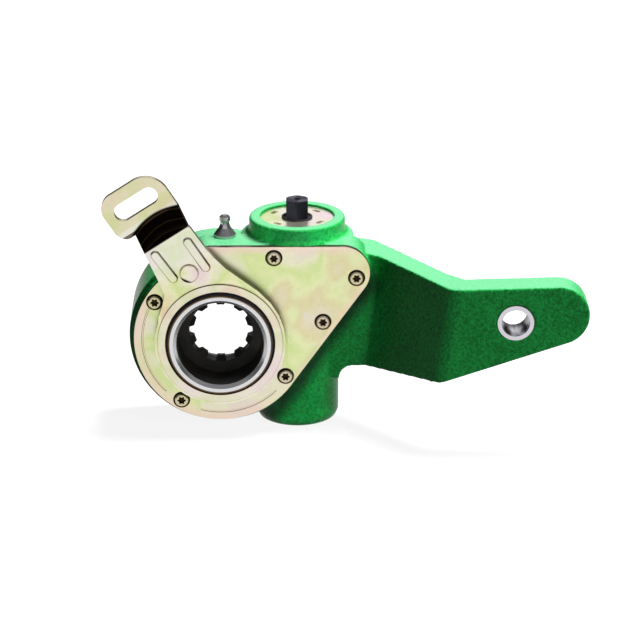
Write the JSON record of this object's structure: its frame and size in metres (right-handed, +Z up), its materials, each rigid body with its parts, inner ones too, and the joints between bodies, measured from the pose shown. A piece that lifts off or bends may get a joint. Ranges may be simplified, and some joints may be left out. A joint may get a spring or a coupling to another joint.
{
  "type": "brake slack adjuster",
  "caption": "Lever-type brake slack adjuster: cast offset arm with clevis bush, splined worm wheel turned by a hex-ended worm, bolted cover and slotted self-setting control arm.",
  "frame": {"origin": "on the bore's axis, in the plane of the worm's axis", "axes": "+X from the bore to the clevis end, +Y along the bore to the rear, +Z up along the worm's axis"},
  "size_m": [0.2855, 0.0993, 0.1598],
  "materials": {
    "green_paint": "satin paint over a sand-cast surface",
    "yellow_zinc": "yellow chromated zinc plating",
    "bright_steel": "polished",
    "machined_steel": "turned",
    "black_steel": "black oxide",
    "dark_steel": "oiled",
    "spring_steel": "tempered",
    "bronze": "turned",
    "rubber": "matt",
    "gasket": "pressed fibre"
  },
  "bodies": {
    "housing": {"housing": "green_paint", "clevis_bush": "bright_steel", "front_cover": "yellow_zinc", "cover_gasket": "gasket", "cover_screws": "yellow_zinc", "spring_cap": "yellow_zinc", "hex_seal": "rubber", "grease_nipple": "bright_steel", "coupling_spring": "spring_steel", "spring_seat": "dark_steel", "thrust_bearing": "spring_steel", "lower_bush": "bronze", "bottom_plug": "dark_steel", "front_bearing": "bronze", "rear_seal": "rubber", "shaft_bearings": "bronze"},
    "wheel": {"worm_wheel": "machined_steel", "lock_ring": "black_steel"},
    "worm": {"worm_screw": "black_steel", "clutch_ring": "dark_steel"},
    "arm": {"control_arm": "yellow_zinc", "control_collar": "yellow_zinc", "control_gear": "machined_steel", "collar_seal": "rubber", "arm_rivet": "yellow_zinc"},
    "shaft": {"control_shaft": "machined_steel"},
    "clutch": {"clutch_gear": "bronze", "clutch_spring": "spring_steel"}
  },
  "joints": [
    {"name": "wheel_turn", "type": "hinge", "parent": "housing", "child": "wheel", "pos_m": [0, 0, 0], "axis": [0, 1, 0], "continuous": true},
    {"name": "worm_turn", "type": "hinge", "parent": "housing", "child": "worm", "pos_m": [0.046, 0, 0], "axis": [0, 0, 1], "continuous": true},
    {"name": "arm_swing", "type": "hinge", "parent": "housing", "child": "arm", "pos_m": [0, 0, 0], "axis": [0, 1, 0], "range_deg": [-45, 30]},
    {"name": "shaft_turn", "type": "hinge", "parent": "housing", "child": "shaft", "pos_m": [0, -0.02, 0.044], "axis": [1, 0, 0], "range_deg": [-1200, 1800]},
    {"name": "clutch_turn", "type": "hinge", "parent": "housing", "child": "clutch", "pos_m": [0.046, 0, 0.044], "axis": [0, 0, 1], "range_deg": [-120, 80]}
  ],
  "couplings": [
    {"joint": "worm_turn", "follows": "wheel_turn", "ratio": 23},
    {"joint": "shaft_turn", "follows": "arm_swing", "ratio": -39},
    {"joint": "clutch_turn", "follows": "arm_swing", "ratio": 2.6}
  ]
}
